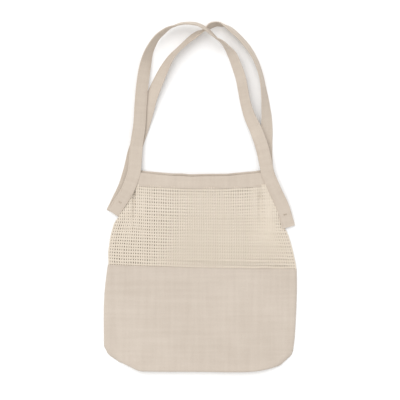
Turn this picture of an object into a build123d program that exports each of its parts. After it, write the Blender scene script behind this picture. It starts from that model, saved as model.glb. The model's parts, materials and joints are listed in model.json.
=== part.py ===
"""Mesh produce bag, lying flat on its back: canvas below, net above, two long shoulder straps.

+X is the bag's width, +Y runs from its bottom seam towards the straps, +Z is up from the surface it
lies on. Every length below is in millimetres, and y is counted from the bottom seam until the whole
bag is moved so that its origin is the middle of its underside.
"""

import math
import os

from build123d import *

# ---- driving dimensions -------------------------------------------------------------------------
CANVAS = 1.2  # thickness of the canvas
NET = 1.0  # thickness of the net
STRAP_WIDTH = 26.0
STRAP_THICKNESS = 2.4  # folded canvas
BAND_THICKNESS = 2.4  # folded canvas
SEAM_WIDTH = 8.0  # seam allowance left inside the bag
SEAM_THICKNESS = 1.6
HEM_DEPTH = 10.0  # folded top edge of the canvas
HEM_SHORT = 12.0  # the front hem stops this far inside each side seam, the back one a little further
BACK_HEM_SHORT = 15.0
THREAD = 0.5
STITCH_INSET = 2.5  # rows of stitching on a strap, in from its edges
SEAM_STITCH_INSET = 3.0  # rows of stitching beside the net line and the band line
BAND_STITCH_LENGTH = 246.0
SEAM_STITCH_LENGTH = 320.0
STITCH_MIDDLE = 4.0  # x of the middle of those rows
TACK_UP = 26.0  # bar tack, from the end of a strap
TACK_LENGTH = 8.0
TACK_DEPTH = 1.8
GAP = 0.4  # between pieces that are sewn edge to edge

NET_LINE = 208.0  # where the canvas ends and the net begins
BAND_LINE = 368.0  # where the net ends and the band begins
BAND_TOP = 397.0  # front band's top edge at the straps
BAND_SAG = 7.0  # how far the band's edges dip in the middle
BACK_BAND_RISE = 3.5  # the back band stands this far above the front one
HINGE_Y = 402.0  # line about which the handles fold
HANDLE_GAP = 0.5  # between a handle and its sewn end at that line

MOUTH_GAP = 8.0  # between the two bands
PUFF = 15.0  # height of the front canvas above the surface, in the middle
OPEN_SIDE = 0.5  # the net's sides part at this share of its height
EDGE_Z = CANVAS + SEAM_THICKNESS  # underside of the front panel at the side seams
FRONT_Z = BAND_THICKNESS + MOUTH_GAP  # underside of the front band and strap at the mouth
FRONT_STRAP_Z = FRONT_Z + STRAP_THICKNESS / 2
BACK_STRAP_Z = STRAP_THICKNESS / 2

# Section of a front panel between its two edges: share of the width, share of the crown's rise.
ARCH = [(0.0, 0.0), (0.07, 0.55), (0.2, 0.9), (0.42, 1.0), (0.58, 1.0), (0.8, 0.9), (0.93, 0.55), (1.0, 0.0)]
HEM_EDGE_RISE = 2.6  # the front hem hangs inside the front panel, clear of it by these two
HEM_CLEARANCE = 1.5
THREAD_CLEARANCE = 0.1  # thread on the front panel stands this far off it
NET_SLACK = 0.6  # the front net's crown above the band's underside
BOTTOM_SEAM_SHORT = 6.0  # the bottom seam stops this far short of the left side seam

# Outline of the bag below the straps: y, left edge, right edge, height of the front panel's crown.
CANVAS_STATIONS = [
    (0.0, -124.0, 112.0, EDGE_Z + 2.5),
    (12.0, -154.0, 156.0, EDGE_Z + 5.5),
    (34.0, -183.0, 182.0, 12.5),
    (58.0, -192.0, 188.0, 14.5),
    (150.0, -192.0, 192.0, PUFF),
    (NET_LINE, -183.0, 192.0, PUFF),
]
# The net's free sides, up to where the strap ends begin: y and x, going up.
NET_LEFT = [(NET_LINE, -183.0), (245.0, -179.0), (304.0, -171.0)]
NET_RIGHT = [(NET_LINE, 192.0), (245.0, 184.0), (282.5, 173.0)]

# ---- strap routes: x, y, z of the middle of the strap, tilt in degrees (positive: outer edge up) -
FRONT_LEFT_END = [(-174, 316, 5.6, 0), (-138, 368, 11.0, 0), (-130, HINGE_Y, FRONT_STRAP_Z, 0)]
FRONT_RIGHT_END = [
    (133, HINGE_Y, FRONT_STRAP_Z, 0),
    (147, 368, 11.0, 0),
    (162, 332, 8.6, 0),
    (174, 289, 5.6, 0),
]
BACK_LEFT_END = [
    (-175, 318, BACK_STRAP_Z, 0),
    (-148, 368, BACK_STRAP_Z, 0),
    (-141, HINGE_Y, BACK_STRAP_Z, 0),
]
BACK_RIGHT_END = [
    (134, HINGE_Y, BACK_STRAP_Z, 0),
    (148, 368, BACK_STRAP_Z, 0),
    (162, 332, BACK_STRAP_Z, 0),
    (174, 290, BACK_STRAP_Z, 0),
]
HANDLE_Y = HINGE_Y + HANDLE_GAP
# The front strap crosses over the back one three times: on both strands and near the top.
FRONT_LOOP = [
    (-130, HANDLE_Y, FRONT_STRAP_Z, 0),
    (-129, 422, 12.2, 8),
    (-126, 452, 13.0, 15),
    (-121, 490, 13.5, 20),
    (-118, 530, 13.5, 22),
    (-114, 570, 14.0, 25),
    (-109, 606, 15.0, 32),
    (-99, 640, 17.0, 55),
    (-83, 666, 18.5, 65),
    (-60, 683, 21.0, 70),
    (-30, 691, 25.0, 76),
    (-6, 688, 29.0, 74),
    (10, 680, 31.0, 68),
    (26, 667, 28.0, 76),
    (38, 657, 23.0, 86),
    (50, 647, 18.0, 72),
    (63, 630, 14.5, 50),
    (73, 606, 13.0, 45),
    (81, 580, 13.0, 43),
    (87, 554, 13.0, 43),
    (92, 528, 13.5, 40),
    (100, 504, 14.0, 32),
    (111, 480, 14.0, 20),
    (122, 450, 13.0, 10),
    (130, 422, 12.2, 4),
    (133, HANDLE_Y, FRONT_STRAP_Z, 0),
]
# The back strap lies on the surface, on its lower edge wherever it is tilted: x, y, tilt.
BACK_LOOP = [
    (-141, HANDLE_Y, 0),
    (-136, 420, 0),
    (-127, 450, 0),
    (-115, 486, -3),
    (-105, 518, -12),
    (-96, 548, -24),
    (-84, 578, -34),
    (-71, 608, -42),
    (-58, 628, -56),
    (-44, 643, -62),
    (-27, 658, -56),
    (-6, 673, -40),
    (8, 683, -33),
    (20, 690, -45),
    (38, 694, -68),
    (60, 684, -62),
    (79, 667, -60),
    (93, 650, -65),
    (105, 633, -68),
    (114, 615, -70),
    (121, 592, -70),
    (127, 562, -64),
    (131, 530, -50),
    (133, 504, -36),
    (133, 482, -20),
    (132, 455, -5),
    (132, 425, 0),
    (134, HANDLE_Y, 0),
]


# ---- shapes -------------------------------------------------------------------------------------
def slab(points, low, high):
    """A flat sheet of the given outline between two heights."""
    return extrude(Plane.XY.offset(low) * make_face(Polyline(*points, close=True)), high - low)


def frames(route, flat_start=False, flat_end=False):
    """Middle, outward direction and face direction of the strap at each station of its route."""
    result = []
    last = len(route) - 1
    for i, (x, y, z, tilt) in enumerate(route):
        before, after = route[max(i - 1, 0)], route[min(i + 1, last)]
        along = Vector(after[0] - before[0], after[1] - before[1]).normalized()
        if (i == 0 and flat_start) or (i == last and flat_end):
            along = Vector(0, 1 if along.Y > 0 else -1)
        outward = Vector(-along.Y, along.X)
        angle = math.radians(tilt)
        across = outward * math.cos(angle) + Vector(0, 0, math.sin(angle))
        face = outward * -math.sin(angle) + Vector(0, 0, math.cos(angle))
        result.append((Vector(x, y, z), across, face))
    return result


def skin(sections):
    """A closed solid through sections of equally many corners, in flat triangles."""
    faces = [Face(Wire.make_polygon(sections[0])), Face(Wire.make_polygon(sections[-1]))]
    for near, far in zip(sections, sections[1:]):
        for a, b, c, d in zip(near, near[1:] + near[:1], far[1:] + far[:1], far):
            faces += [Face(Wire.make_polygon(corners)) for corners in ((a, b, c), (a, c, d))]
    return Solid(Shell(faces))


def ribbon(stations, width, thickness, side=0.0, lift=0.0):
    """A strip of rectangular section through the stations, moved sideways or off the face."""
    sections = []
    for middle, across, face in stations:
        centre = middle + across * side + face * lift
        reach, rise = across * (width / 2), face * (thickness / 2)
        below, above = centre - rise, centre + rise
        sections.append([below - reach, below + reach, above + reach, above - reach])
    return skin(sections)


def edge_line(stations, side):
    """Points along a strap at a sideways distance from its middle, positive outwards."""
    return [middle + across * side for middle, across, face in stations]


def at_height(points, y):
    """x where a run of points crosses the given y."""
    ordered = sorted(points, key=lambda p: p.Y)
    for a, b in zip(ordered, ordered[1:]):
        if a.Y <= y <= b.Y:
            return a.X + (b.X - a.X) * (y - a.Y) / (b.Y - a.Y)
    return ordered[0].X if y < ordered[0].Y else ordered[-1].X


def arched_panel(stations, thickness, lift=0.0):
    """A thin sheet that rises from its two edges to a crown: y, left, right, edge z, crown z."""
    sections = []
    for y, left, right, edge, crown in stations:
        width = right - left
        lower = [Vector(left + u * width, y, lift + edge + v * (crown - edge)) for u, v in ARCH]
        upper = [p + Vector(0, 0, thickness) for p in reversed(lower)]
        sections.append(lower + upper)
    return skin(sections)


def between(stations, y):
    """The outline's left edge, right edge and crown at a height between two stations."""
    for a, b in zip(stations, stations[1:]):
        if a[0] <= y <= b[0]:
            t = (y - a[0]) / (b[0] - a[0])
            return [p + (q - p) * t for p, q in zip(a[1:], b[1:])]
    raise ValueError(y)


# ---- strap ends ---------------------------------------------------------------------------------
def strap_ends():
    """Stations of the four sewn strap ends, below the line about which the handles fold."""
    return {
        "strap_end_front_left": frames(FRONT_LEFT_END, flat_end=True),
        "strap_end_front_right": frames(FRONT_RIGHT_END, flat_start=True),
        "strap_end_back_left": frames(BACK_LEFT_END, flat_end=True),
        "strap_end_back_right": frames(BACK_RIGHT_END, flat_start=True),
    }


# ---- panels -------------------------------------------------------------------------------------
def canvas_front():
    """The front canvas, arched over the inside of the bag."""
    stations = [(y, left, right, EDGE_Z, crown) for y, left, right, crown in CANVAS_STATIONS]
    return arched_panel(stations, CANVAS)


def canvas_back():
    """The back canvas, flat on the surface."""
    left = [(s[1], s[0]) for s in CANVAS_STATIONS]
    right = [(s[2], s[0]) for s in reversed(CANVAS_STATIONS)]
    return slab(left + right, 0, CANVAS)


def net_outline(left_strap, right_strap):
    """Left and right edges of a net panel: free below, then along the straps that bind it."""
    inner = STRAP_WIDTH / 2 + GAP
    left = [Vector(x, y) for y, x in NET_LEFT] + edge_line(left_strap, -inner)
    right = [Vector(x, y) for y, x in NET_RIGHT] + edge_line(right_strap, -inner)
    rows = sorted({p.Y for p in left + right if NET_LINE < p.Y < BAND_LINE - 3})
    rows = [NET_LINE + GAP, *rows, BAND_LINE - GAP]
    return [(y, at_height(left, y), at_height(right, y)) for y in rows]


def net_front(ends):
    """The front net: arched like the canvas below, flat at the band above."""
    stations = []
    for y, left, right in net_outline(ends["strap_end_front_left"], ends["strap_end_front_right"]):
        up = (y - NET_LINE) / (BAND_LINE - NET_LINE)
        crown = PUFF + (FRONT_Z + NET_SLACK - PUFF) * up**2
        edge = EDGE_Z + (FRONT_Z - EDGE_Z) * max(0.0, (up - OPEN_SIDE) / (1 - OPEN_SIDE))
        stations.append((y, left, right, edge, crown))
    return arched_panel(stations, NET)


def net_back(ends):
    """The back net, flat on the surface."""
    rows = net_outline(ends["strap_end_back_left"], ends["strap_end_back_right"])
    return slab([(r[1], r[0]) for r in rows] + [(r[2], r[0]) for r in reversed(rows)], 0, NET)


def band(ends, side, low, top):
    """A folded band between the two straps, its long edges dipping in the middle."""
    inner = STRAP_WIDTH / 2 + GAP
    left = edge_line(ends[f"strap_end_{side}_left"], -inner)
    right = edge_line(ends[f"strap_end_{side}_right"], -inner)
    corners = [(at_height(left, y), y) for y in (BAND_LINE, top)]
    corners += [(at_height(right, y), y) for y in (top, BAND_LINE)]
    middle = (corners[0][0] + corners[3][0]) / 2
    outline = [
        Line(corners[0], corners[1]),
        ThreePointArc(corners[1], (middle, top - BAND_SAG), corners[2]),
        Line(corners[2], corners[3]),
        Line(corners[3], corners[0]),
    ]
    return extrude(Plane.XY.offset(low) * make_face(outline), BAND_THICKNESS)


# ---- seams, hems and thread ---------------------------------------------------------------------
def seam(points):
    """A folded seam allowance lying just inside an edge of the bag."""
    route = [(x, y, CANVAS + SEAM_THICKNESS / 2, 0) for x, y in points]
    return ribbon(frames(route), SEAM_WIDTH, SEAM_THICKNESS - 0.1, side=-SEAM_WIDTH / 2 - GAP)


def seams():
    """The seam allowances of both sides and the bottom."""
    left = [(s[1], s[0]) for s in CANVAS_STATIONS] + [(x, y) for y, x in NET_LEFT[1:]]
    right = [(s[2], s[0]) for s in CANVAS_STATIONS] + [(x, y) for y, x in NET_RIGHT[1:]]
    corner = SEAM_WIDTH + BOTTOM_SEAM_SHORT
    return {
        "side_seam_left": seam(left[1:]),
        "side_seam_right": seam(list(reversed(right[1:]))),
        "bottom_seam": seam([(right[0][0], 0), (left[0][0] + corner, 0)]),
    }


def hems():
    """The canvas's folded top edge, which grips the lower edge of the net."""
    low = NET_LINE - HEM_DEPTH
    rows = []
    for y in (low, NET_LINE):
        left, right, crown = between(CANVAS_STATIONS, y)
        edge = EDGE_Z + HEM_EDGE_RISE - CANVAS
        rows.append((y, left + HEM_SHORT, right - HEM_SHORT, edge, crown - CANVAS - HEM_CLEARANCE))
    left, right, crown = between(CANVAS_STATIONS, low)
    flat = Box(right - left - 2 * BACK_HEM_SHORT, HEM_DEPTH, CANVAS).moved(
        Location(((left + right) / 2, low + HEM_DEPTH / 2, CANVAS * 1.5))
    )
    return {"canvas_hem_front": arched_panel(rows, CANVAS), "canvas_hem_back": flat}


def stitching(ends):
    """Thread: one row along the net seam, one along each band, two along each strap end."""
    line = NET_LINE - SEAM_STITCH_INSET
    rows = []
    for y in (line, line + THREAD):
        left, right, crown = between(CANVAS_STATIONS, y)
        rows.append((y, left, right, EDGE_Z, crown))
    hem_thread = Box(SEAM_STITCH_LENGTH, THREAD, THREAD)
    band_thread = Box(BAND_STITCH_LENGTH, THREAD, THREAD)
    band_y = BAND_LINE + SEAM_STITCH_INSET
    on_band = BAND_THICKNESS + THREAD / 2
    rise = (STRAP_THICKNESS + THREAD) / 2
    edge = STRAP_WIDTH / 2 - STITCH_INSET
    end_rows = [
        ribbon(stations, THREAD, THREAD, side=side, lift=rise)
        for stations in ends.values()
        for side in (-edge, edge)
    ]
    return {
        "seam_stitching_front": arched_panel(rows, THREAD, lift=CANVAS + THREAD_CLEARANCE),
        "seam_stitching_back": hem_thread.moved(Location((STITCH_MIDDLE, line, 2 * CANVAS + THREAD / 2))),
        "band_stitching_front": band_thread.moved(Location((STITCH_MIDDLE, band_y, FRONT_Z + on_band))),
        "band_stitching_back": band_thread.moved(Location((0, band_y, on_band))),
        "strap_end_stitching": Compound(children=end_rows),
    }


def bar_tacks(ends):
    """A dense tack across each strap end, above where it stops."""
    tacks = []
    for name, stations in ends.items():
        outwards = stations if name.endswith("left") else stations[::-1]
        stop, before = outwards[0], outwards[1]
        along = (before[0] - stop[0]).normalized()
        across = stop[1]
        face = across.cross(along).normalized()
        face = face if face.Z > 0 else face * -1
        centre = stop[0] + along * TACK_UP + face * (STRAP_THICKNESS / 2 + THREAD / 2)
        plane = Plane(origin=centre, x_dir=across, z_dir=face)
        tacks.append(plane * Box(TACK_LENGTH, TACK_DEPTH, THREAD))
    return Compound(children=tacks)


# ---- handles ------------------------------------------------------------------------------------
def handle_frames():
    """Stations of both handles; the back one rests on its lower edge wherever it is tilted."""
    half, thick = STRAP_WIDTH / 2, STRAP_THICKNESS / 2
    back = []
    for x, y, tilt in BACK_LOOP:
        angle = math.radians(abs(tilt))
        back.append((x, y, half * math.sin(angle) + thick * math.cos(angle), tilt))
    return {
        "front": frames(FRONT_LOOP, flat_start=True, flat_end=True),
        "back": frames(back, flat_start=True, flat_end=True),
    }


def handles():
    """Both handles with their rows of stitching."""
    rise = (STRAP_THICKNESS + THREAD) / 2
    edge = STRAP_WIDTH / 2 - STITCH_INSET
    result = {}
    for side, stations in handle_frames().items():
        result[f"handle_{side}"] = ribbon(stations, STRAP_WIDTH, STRAP_THICKNESS)
        rows = [ribbon(stations, THREAD, THREAD, side=s, lift=rise) for s in (-edge, edge)]
        result[f"handle_stitching_{side}"] = Compound(children=rows)
    return result


def bag():
    """Every piece of the bag by name."""
    ends = strap_ends()
    parts = {name: ribbon(stations, STRAP_WIDTH, STRAP_THICKNESS) for name, stations in ends.items()}
    parts["canvas_panel_front"] = canvas_front()
    parts["canvas_panel_back"] = canvas_back()
    parts["net_panel_front"] = net_front(ends)
    parts["net_panel_back"] = net_back(ends)
    parts["top_band_front"] = band(ends, "front", FRONT_Z, BAND_TOP)
    parts["top_band_back"] = band(ends, "back", 0, BAND_TOP + BACK_BAND_RISE)
    parts.update(seams())
    parts.update(hems())
    parts.update(stitching(ends))
    parts["bar_tacks"] = bar_tacks(ends)
    parts.update(handles())
    return parts


def main():
    """Move the bag to its origin and write one file for each piece."""
    parts = bag()
    boxes = [part.bounding_box() for part in parts.values()]
    low = [min(getattr(box.min, axis) for box in boxes) for axis in "XYZ"]
    high = [max(getattr(box.max, axis) for box in boxes) for axis in "XYZ"]
    origin = Vector((low[0] + high[0]) / 2, (low[1] + high[1]) / 2, low[2])
    print("origin in the bag's own measure:", [round(v, 3) for v in origin])
    print("size:", [round(b - a, 2) for a, b in zip(low, high)])
    os.makedirs("parts", exist_ok=True)
    for name, part in parts.items():
        export_step(part.moved(Location(-origin)), f"parts/{name}.step")


main()
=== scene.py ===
"""Mesh produce bag lying flat on its back: canvas below, net above, two long shoulder straps.

Lengths are in millimetres in the bag's own measure, y counted from the bottom seam, and are turned
into the frame's metres where a mesh is made.
"""

import json
import math

import bpy
import numpy as np
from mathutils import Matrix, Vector


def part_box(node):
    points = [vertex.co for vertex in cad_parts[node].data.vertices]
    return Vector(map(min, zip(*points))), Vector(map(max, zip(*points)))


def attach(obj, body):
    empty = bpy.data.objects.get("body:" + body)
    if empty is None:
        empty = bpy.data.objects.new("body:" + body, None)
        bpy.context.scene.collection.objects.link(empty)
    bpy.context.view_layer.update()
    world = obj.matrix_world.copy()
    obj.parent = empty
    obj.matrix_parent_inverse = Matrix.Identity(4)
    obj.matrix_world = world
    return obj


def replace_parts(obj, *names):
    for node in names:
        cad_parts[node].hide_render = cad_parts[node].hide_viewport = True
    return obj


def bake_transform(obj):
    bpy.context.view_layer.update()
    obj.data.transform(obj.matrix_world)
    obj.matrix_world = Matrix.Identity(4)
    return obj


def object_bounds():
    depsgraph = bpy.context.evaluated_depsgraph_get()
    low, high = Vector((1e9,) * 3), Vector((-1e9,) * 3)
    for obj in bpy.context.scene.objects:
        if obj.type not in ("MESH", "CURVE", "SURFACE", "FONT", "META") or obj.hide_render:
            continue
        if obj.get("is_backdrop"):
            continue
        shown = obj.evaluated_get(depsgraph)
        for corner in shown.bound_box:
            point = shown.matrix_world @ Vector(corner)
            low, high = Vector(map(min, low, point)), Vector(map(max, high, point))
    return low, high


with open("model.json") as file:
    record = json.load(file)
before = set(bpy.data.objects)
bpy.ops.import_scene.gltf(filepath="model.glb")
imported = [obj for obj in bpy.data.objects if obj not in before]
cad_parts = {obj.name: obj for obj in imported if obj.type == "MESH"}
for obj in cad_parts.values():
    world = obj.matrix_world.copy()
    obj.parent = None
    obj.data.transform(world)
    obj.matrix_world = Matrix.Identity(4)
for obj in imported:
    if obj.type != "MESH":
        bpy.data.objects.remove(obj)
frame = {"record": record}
CAD_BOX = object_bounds()

MM = 0.001
BOTTOM_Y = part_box("canvas_panel_back")[0][1]  # where the bottom seam lies in the frame
HINGE = frame["record"]["behaviour"]["joints"][0]["pos_m"]
HINGE_Y = (HINGE[1] - BOTTOM_Y) / MM  # line about which the handles fold
SPLIT_Y = HINGE_Y + 8  # where the front strap's loop begins
END_Y = HINGE_Y + 4  # a strap counts as a sewn end up to here

# ---- sizes ----
SHARP = 55.0  # faces that meet at more than this many degrees show an edge
CLOTH = 0.9  # canvas thickness
SEAM_Z = 2.1  # height of the side seams, where front and back panels meet
SEAM_GAP = 0.1  # the back panel's edge lies this far below the front one's
BOTTOM_LIFT = 9.0  # the bottom seam is this much higher than the side seams, in its middle
BOTTOM_UP = (6, 60)  # the lift fades between these heights
BOTTOM_OUT = (110, 185)  # and between these distances from the middle
PLATEAU = 12.0  # height of the front panel away from its edges
PANEL_EDGE = 1.5  # the front panel starts this far above the seam
PANEL_EDGE_BOTTOM = 3.0  # and this much further along the bottom
BACK_Z = 1.0  # top of the back panel, where it lies on the surface
BACK_CLEAR = 0.05  # its underside clears the surface by this much
EDGE_REACH = 55.0  # how far from an edge the front panel takes to rise
BOTTOM_REACH_LESS = 27  # the bottom edge takes that much less
BOTTOM_REACH_Y = (20, 80)
ROLL = 6.0  # width of the rounded edge beside a seam
BOTTOM_ROLL_LESS = 3.0
ALLOWANCE = 0.9  # the allowance inside lifts the front panel, from and to these distances in
ALLOWANCE_IN = (1.0, 3.5)
ALLOWANCE_OUT = (9.5, 13.5)
CALM = 25  # folds and small bumps fade within this distance of an edge
STRAP_WIDTH = 26.0
STRAP_HALF = 1.1  # half of the strap's thickness
BACK_STRAP_LIFT = 0.9  # the back strap lies this far off the surface
CURL = 0.5  # how far each half of a strap curls back where it stands on its edge, in radians
CURL_SPREAD = 0.32  # how soon the curl fades as the strap lies flatter
CUP_MIDDLE = 0.4  # a cupped strap's middle sinks by this share of its cup
STITCH_INSET = 2.5  # edge stitching, in from a strap's edge
STITCH_STEP = 3.2
STITCH_LENGTH = 2.5
STITCH_RADIUS = 0.3
STITCH_OUT = 0.82  # from a strap's middle to its thread
STITCH_END = 3.0  # no stitches this near the ends of a strap
SEAM_STITCH_IN = 3.0  # the row below the canvas's top edge
BAND_Z = {"front": (10.4, 9.4), "back": (6.3, 3.6)}  # height of each band's middle: halfway, at its ends
BAND_ENDS = (-134.0, 141.0)  # under the straps
MOUTH_Y = 364  # above here, and this far from the middle, the front panel follows the band
MOUTH_HALF = 124
BOUND_Y = (285, 322)  # the net's edge climbs from the seam to the strap between these
BACK_RISE = 4.0  # halfway along the mouth, the back net rises this far to its band
BACK_RISE_Y = (300, 366)
NET_SAG = 5.0  # the front net sinks this far between the canvas and the band
NET_SAG_IN = (12, 50)  # from nothing to all of it between these distances from the edge
NET_UNDER = 1.0  # and passes this much lower under the canvas's top edge
NET_UNDER_Y = (-1, 6)
NET_CLEAR = 2.0  # and stays this far above the middle of the back net's cords
NET_SINK = 1.0  # the middle of the net's cords lies this far below the panel's surface

# Height, size across and seed of each unevenness of the cloth.
BUMPS = {
    "panel_wide": (3.0, 95, 3),
    "panel_narrow": (1.8, 48, 5),
    "cloth_wide": (0.28, 21, 11),
    "cloth_narrow": (0.16, 11, 13),
    "band_lie": (0.3, 24, 41),
    "band_ripple": (0.7, 17, 43),
    "band_crinkle": (0.35, 8, 47),
    "band_top": (0.5, 18, 49),
    "strap_cup": (0.5, 45, 61),
    "strap_ripple": (0.35, 16, 62),
}

# ---- outline, in x and y ----
LEFT_SIDE = [
    (-171, 26), (-181.5, 33.5), (-190.8, 49.5), (-192, 70), (-192, 130), (-190.5, 160), (-187.5, 188),
    (-184, 213),
]
RIGHT_SIDE = [(171, 23), (183.2, 34.8), (188, 58), (190.5, 90), (192.6, 133), (193.5, 170), (193, 204.6)]
BOTTOM = [
    (-171, 26), (-160, 18.8), (-141.6, 10.2), (-122, 1.4), (-100, 0.2), (0, -0.4), (92, -1.0), (125, 2.5),
    (158, 12), (171, 23),
]
NET_LINE = [(-184, 214.2), (-120, 211.3), (0, 207.6), (120, 205.6), (193, 204.6)]
NET_LEFT = [(-184, 213), (-183.5, 240), (-180, 266), (-176, 282), (-171, 297), (-163, 309)]
NET_RIGHT = [(193, 204.6), (192, 214), (188, 232), (184, 250), (178.5, 268), (174, 279), (168, 288)]
BAND_LINE = [(-132, 371.2), (-60, 367), (0, 365.5), (70, 366.5), (140, 371)]
BAND_TOP = [(-122, 397.5), (-60, 391), (0, 389.2), (70, 391.5), (128, 397.5)]
BACK_BAND_TOP = [(-126, 402), (-60, 395.8), (0, 393.6), (70, 396), (128, 402)]

# ---- strap routes: x, y, z, tilt in degrees (positive: outer edge up) ----
FRONT_STRAP = [
    (-174, 316, 5.2, 0), (-157, 341, 7.5, 0), (-144, 362, 10.4, 0), (-136, 382, 11.6, 0),
    (-131.5, 396, 11.6, 0), (-130, 406, 11.8, 2), (-129, 420, 12.2, 8), (-126.5, 452, 13, 15),
    (-121, 490, 13.5, 20), (-118.5, 530, 13.5, 22), (-115, 570, 14, 24), (-109.5, 606, 15, 30),
    (-101, 638, 17, 54), (-86, 663, 18.5, 69), (-70, 676.5, 20, 77), (-47, 687.5, 24, 99),
    (-28, 691, 28, 103), (-6, 688.5, 32, 105), (10, 680.5, 33, 108), (27, 666, 30, 101), (39, 657, 24, 88),
    (52, 646, 18, 74), (64, 631, 14.5, 52), (73.5, 608, 13, 44), (81, 586, 13, 43),
    (86, 560, 13, 43), (91, 534, 13.5, 41), (100, 506, 14, 32), (111, 482, 14, 20),
    (122, 452, 13, 10), (129, 424, 12.2, 5), (132.5, 406, 11.8, 1), (135, 394, 11.6, 0),
    (140, 382, 11.5, 0), (150, 360, 10.6, 0), (165, 328, 8, 0), (177, 288, 5.2, 0),
]
# The back strap lies on the surface, on its lower edge wherever it is tilted: x, y, tilt.
BACK_STRAP = [
    (-175, 317, 0), (-165, 338, 0), (-150, 370, 0), (-143, 392, 0), (-139, 406, 0), (-133, 432, 0),
    (-126, 454, 0), (-115, 486, -3), (-105, 518, -12), (-96, 548, -24), (-84, 576, -33),
    (-72, 602, -44), (-57, 627, -60), (-43, 642.5, -68), (-26, 658, -66), (-10, 670, -62), (0, 677, -70),
    (11, 684.5, -98), (20, 690, -107), (33, 694.2, -104), (43, 693, -97), (53, 688.5, -76),
    (65, 679, -66), (79, 666, -66), (93, 650, -65), (105, 633, -68), (114, 615, -70),
    (121.5, 592, -70), (127, 562, -64), (130.5, 532, -50), (132.5, 504, -36), (132.5, 482, -20),
    (131.5, 455, -5), (132, 425, 0), (134, 402, 0), (147, 368, 0), (163, 330, 0), (176, 289, 0),
]


# ---- curves and fields ----
CURVE_STEPS = 40  # points on each span of a curve, before it is evened out
OUTLINE_STEP = 4.0
FINE_STEP = 1.0
NOISE_TABLE = 64
NOISE_SHIFT = 20


def catmull(points, step):
    """Points along a smooth curve through the given ones, about step apart."""
    p = np.array(points, float)
    p = np.vstack([2 * p[0] - p[1], p, 2 * p[-1] - p[-2]])
    dense = []
    for a, b, c, d in zip(p, p[1:], p[2:], p[3:]):
        knots = [0.0]
        for one, two in ((a, b), (b, c), (c, d)):
            knots.append(knots[-1] + max(np.linalg.norm((two - one)[:2]), 1e-6) ** 0.5)
        t0, t1, t2, t3 = knots
        t = np.linspace(t1, t2, CURVE_STEPS, endpoint=False)[:, None]
        a1 = (t1 - t) / (t1 - t0) * a + (t - t0) / (t1 - t0) * b
        a2 = (t2 - t) / (t2 - t1) * b + (t - t1) / (t2 - t1) * c
        a3 = (t3 - t) / (t3 - t2) * c + (t - t2) / (t3 - t2) * d
        b1 = (t2 - t) / (t2 - t0) * a1 + (t - t0) / (t2 - t0) * a2
        b2 = (t3 - t) / (t3 - t1) * a2 + (t - t1) / (t3 - t1) * a3
        dense.append((t2 - t) / (t2 - t1) * b1 + (t - t1) / (t2 - t1) * b2)
    dense = np.vstack(dense + [p[-2:-1]])
    return resample(dense, max(int(round(length_of(dense) / step)), 2) + 1)


def length_of(points):
    """Length of a line in plan."""
    return float(np.linalg.norm(np.diff(points[:, :2], axis=0), axis=1).sum())


def run_along(points):
    """Distance along a line at each of its points."""
    return np.concatenate([[0], np.cumsum(np.linalg.norm(np.diff(points, axis=0), axis=1))])


def unit(vectors):
    """The vectors at length 1."""
    return vectors / np.linalg.norm(vectors, axis=1)[:, None]


def resample(points, count=2, share=None):
    """The points at equal steps along their line, or at the given shares of its length."""
    run = run_along(points[:, :2])
    at = (np.linspace(0, 1, count) if share is None else share) * run[-1]
    return np.stack([np.interp(at, run, points[:, k]) for k in range(points.shape[1])], axis=1)


def smoothstep(low, high, x):
    """From 0 at low to 1 at high, level at both."""
    t = np.clip((np.asarray(x, float) - low) / (high - low), 0, 1)
    return t * t * (3 - 2 * t)


def line_y(points, x):
    """y of a left-to-right line at each x."""
    dense = catmull(points, OUTLINE_STEP)
    return np.interp(x, dense[:, 0], dense[:, 1])


def side_x(points, y):
    """x of a bottom-to-top line at each y."""
    dense = catmull(points, OUTLINE_STEP)
    return np.interp(y, dense[:, 1], dense[:, 0])


def noise(x, y, size, seed):
    """Smooth random field from -1 to 1 whose bumps are about size across."""
    table = np.random.RandomState(seed).uniform(-1, 1, (NOISE_TABLE, NOISE_TABLE))
    u, v = np.asarray(x) / size + NOISE_SHIFT, np.asarray(y) / size + NOISE_SHIFT
    i, j = np.floor(u).astype(int), np.floor(v).astype(int)
    a, b = u - i, v - j
    a, b = a * a * (3 - 2 * a), b * b * (3 - 2 * b)
    corner = lambda p, q: table[p % NOISE_TABLE, q % NOISE_TABLE]
    low = corner(i, j) * (1 - a) + corner(i + 1, j) * a
    high = corner(i, j + 1) * (1 - a) + corner(i + 1, j + 1) * a
    return low * (1 - b) + high * b


def bumps(name, x, y):
    """One of the cloth's unevennesses at each point."""
    height, size, seed = BUMPS[name]
    return height * noise(x, y, size, seed)


def distance_to(outline, x, y):
    """Distance of each point from a run of points."""
    p = np.stack([np.ravel(x), np.ravel(y)], axis=1)
    best = np.full(len(p), 1e9)
    for a, b in zip(outline, outline[1:]):
        d = b - a
        t = np.clip(((p - a) @ d) / max(d @ d, 1e-9), 0, 1)
        best = np.minimum(best, np.linalg.norm(p - (a + t[:, None] * d), axis=1))
    return best.reshape(np.shape(x))


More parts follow.
